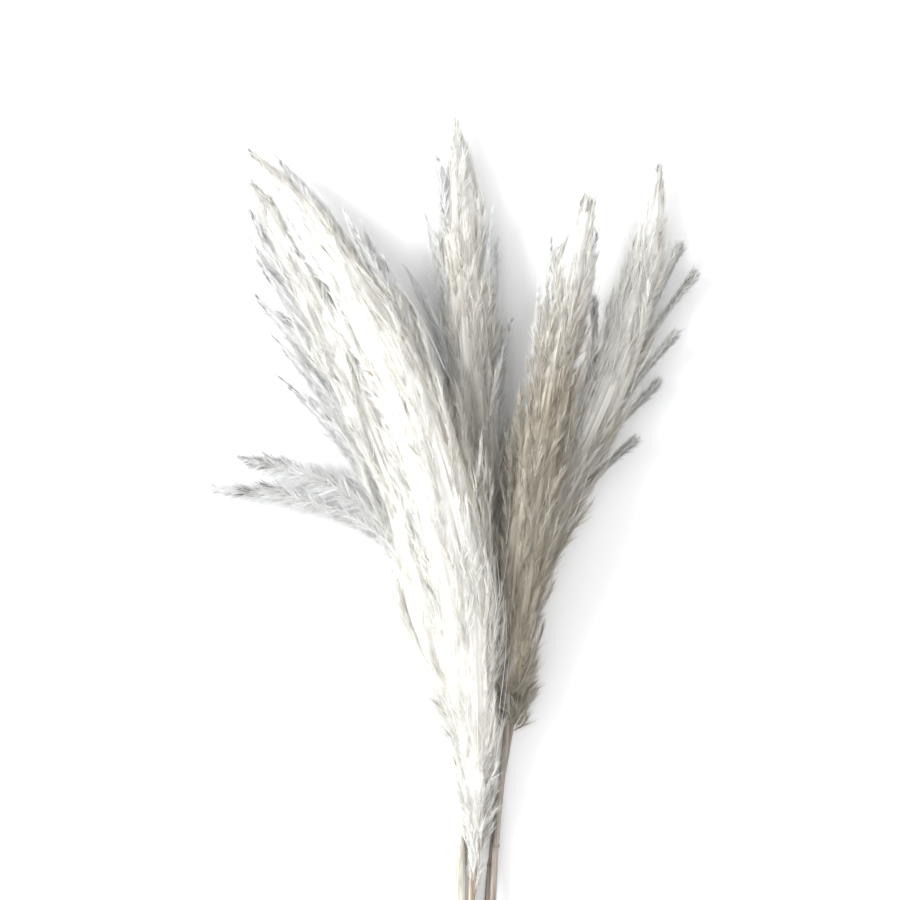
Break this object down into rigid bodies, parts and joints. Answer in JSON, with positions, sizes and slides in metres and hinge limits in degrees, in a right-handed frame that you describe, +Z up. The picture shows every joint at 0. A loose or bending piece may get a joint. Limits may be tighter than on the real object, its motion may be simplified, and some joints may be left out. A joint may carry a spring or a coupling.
{
  "type": "bundle of pampas grass",
  "caption": "Bleached dried pampas plumes with soft feathery heads and side tassels on slender stalks, gathered in a loose bundle that lies flat.",
  "frame": {"origin": "under the middle of the bundle, on the surface that it lies on", "axes": "+Y runs along the bundle from the cut ends of the stalks to the plume tips, +Z is up from the surface, +X is to the right seen from above with the tips away"},
  "size_m": [0.2404, 0.601, 0.056],
  "materials": {
    "stalk": "satin",
    "plume": "matte",
    "tassel": "matte"
  },
  "bodies": {
    "root": {"left_front_stalk": "stalk", "left_front_head": "plume", "left_front_tassel_1": "tassel", "left_front_tassel_2": "tassel", "left_front_tassel_3": "tassel", "left_front_tassel_4": "tassel", "left_front_tassel_5": "tassel", "right_centre_stalk": "stalk", "right_centre_head": "plume", "right_centre_tassel_1": "tassel", "right_centre_tassel_2": "tassel", "right_centre_tassel_3": "tassel", "right_centre_tassel_4": "tassel", "left_back_stalk": "stalk", "left_back_head": "plume", "left_back_tassel_1": "tassel", "left_back_tassel_2": "tassel", "left_back_tassel_3": "tassel", "left_back_tassel_4": "tassel", "left_back_tassel_5": "tassel", "left_back_tassel_6": "tassel", "left_back_tassel_7": "tassel", "left_back_tassel_8": "tassel", "centre_stalk": "stalk", "centre_head": "plume", "centre_tassel_1": "tassel", "centre_tassel_2": "tassel", "centre_tassel_3": "tassel", "centre_tassel_4": "tassel", "centre_tassel_5": "tassel", "centre_tassel_6": "tassel", "right_stalk": "stalk", "right_head": "plume", "right_tassel_1": "tassel", "right_tassel_2": "tassel", "right_tassel_3": "tassel", "right_tassel_4": "tassel", "right_tassel_5": "tassel", "right_tassel_6": "tassel", "right_tassel_7": "tassel"}
  },
  "joints": []
}
